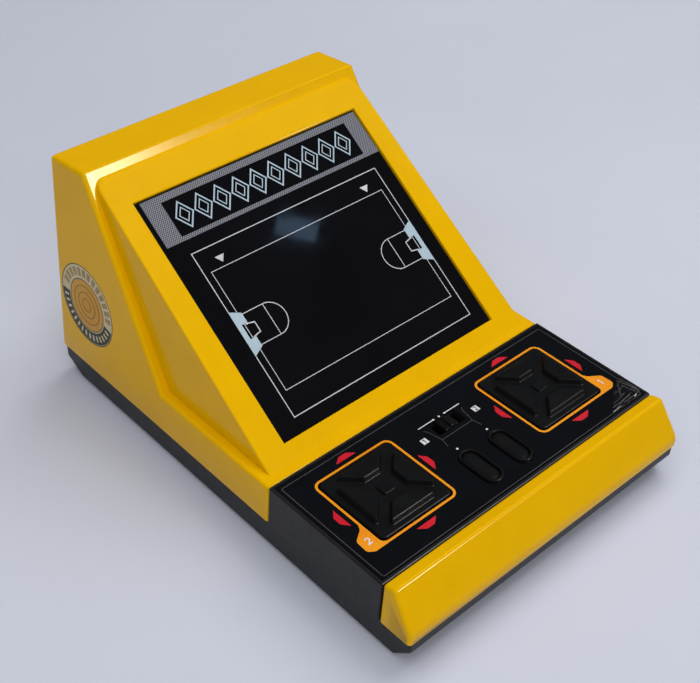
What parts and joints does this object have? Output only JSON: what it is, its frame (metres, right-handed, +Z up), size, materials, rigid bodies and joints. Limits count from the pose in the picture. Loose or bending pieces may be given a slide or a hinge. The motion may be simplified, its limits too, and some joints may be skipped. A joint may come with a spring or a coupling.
{
  "type": "tabletop electronic game",
  "caption": "Wedge-shaped tabletop electronic game with a sloped dark screen, rocker pads, pill buttons and a slide switch.",
  "frame": {"origin": "on the table under the middle of the bounding box", "axes": "+X to the player's right, +Y away from the player, +Z up"},
  "size_m": [0.15, 0.216, 0.11],
  "materials": {
    "yellow_plastic": "satin moulded",
    "black_plastic": "satin moulded",
    "overlay_print": "glossy printed sheet",
    "smoked_lens": "polished",
    "screen_print": "printed",
    "display_glass": "polished",
    "circuit_board": "lacquered",
    "chip_black": "matt",
    "coil_copper": "wound",
    "capacitor_sleeve": "satin",
    "ribbon_grey": "satin",
    "speaker_metal": "satin",
    "switch_metal": "plated",
    "rubber": "matt",
    "steel": "plated",
    "cell_jacket": "satin",
    "sticker": "printed"
  },
  "bodies": {
    "root": {"upper_housing": "yellow_plastic", "front_nose": "yellow_plastic", "bottom_tray": "black_plastic", "control_deck": "black_plastic", "display_holder": "black_plastic", "deck_overlay": "overlay_print", "display_lens": "smoked_lens", "display_mask": "screen_print", "display_panel": "display_glass", "main_pcb": "circuit_board", "control_pcb": "circuit_board", "main_chip": "chip_black", "inverter_coil": "coil_copper", "smoothing_capacitor": "capacitor_sleeve", "ribbon_cable": "ribbon_grey", "speaker": "speaker_metal", "slide_switch_body": "switch_metal", "pad_1_membrane": "rubber", "pad_2_membrane": "rubber", "button_membrane": "rubber", "foot_front_left": "rubber", "foot_front_right": "rubber", "foot_rear_left": "rubber", "foot_rear_right": "rubber", "battery_contact_left": "steel", "battery_contact_right": "steel", "battery_spring_front": "steel", "battery_spring_rear": "steel", "screw_front_left": "steel", "screw_front_right": "steel", "screw_middle_left": "steel", "screw_middle_right": "steel", "screw_rear_left": "steel", "screw_rear_right": "steel", "deck_screw_1": "steel", "deck_screw_2": "steel", "deck_screw_3": "steel", "deck_screw_4": "steel", "battery_cell_1": "cell_jacket", "battery_cell_2": "cell_jacket", "battery_cell_3": "cell_jacket", "battery_cell_4": "cell_jacket", "side_badge_left": "sticker", "side_badge_right": "sticker"},
    "pad_1_pivot": {"pad_1_pivot": "black_plastic"},
    "pad_1": {"pad_1": "black_plastic"},
    "pad_2_pivot": {"pad_2_pivot": "black_plastic"},
    "pad_2": {"pad_2": "black_plastic"},
    "left_button": {"left_action_button": "black_plastic"},
    "right_button": {"right_action_button": "black_plastic"},
    "switch_knob": {"switch_knob": "black_plastic"},
    "battery_door": {"battery_door": "black_plastic"}
  },
  "joints": [
    {"name": "pad_1_tilt_front_back", "type": "hinge", "parent": "root", "child": "pad_1_pivot", "pos_m": [0.0425, -0.0607, 0.028], "axis": [1, 0, 0], "range_deg": [-4, 4], "stiffness_Nm_per_rad": 0.1},
    {"name": "pad_1_tilt_left_right", "type": "hinge", "parent": "pad_1_pivot", "child": "pad_1", "pos_m": [0.0425, -0.0607, 0.028], "axis": [0, 1, 0], "range_deg": [-4, 4], "stiffness_Nm_per_rad": 0.1},
    {"name": "pad_2_tilt_front_back", "type": "hinge", "parent": "root", "child": "pad_2_pivot", "pos_m": [-0.0425, -0.0607, 0.028], "axis": [1, 0, 0], "range_deg": [-4, 4], "stiffness_Nm_per_rad": 0.1},
    {"name": "pad_2_tilt_left_right", "type": "hinge", "parent": "pad_2_pivot", "child": "pad_2", "pos_m": [-0.0425, -0.0607, 0.028], "axis": [0, 1, 0], "range_deg": [-4, 4], "stiffness_Nm_per_rad": 0.1},
    {"name": "left_button_press", "type": "slide", "parent": "root", "child": "left_button", "axis": [0, 0, -1], "range_m": [0, 0.0012], "stiffness_N_per_m": 400, "springref_m": -0.0003},
    {"name": "right_button_press", "type": "slide", "parent": "root", "child": "right_button", "axis": [0, 0, -1], "range_m": [0, 0.0012], "stiffness_N_per_m": 400, "springref_m": -0.0003},
    {"name": "power_switch_slide", "type": "slide", "parent": "root", "child": "switch_knob", "axis": [1, 0, 0], "range_m": [-0.003, 0.003]},
    {"name": "battery_door_slide", "type": "slide", "parent": "root", "child": "battery_door", "axis": [0, 1, 0], "range_m": [0, 0.063]}
  ]
}
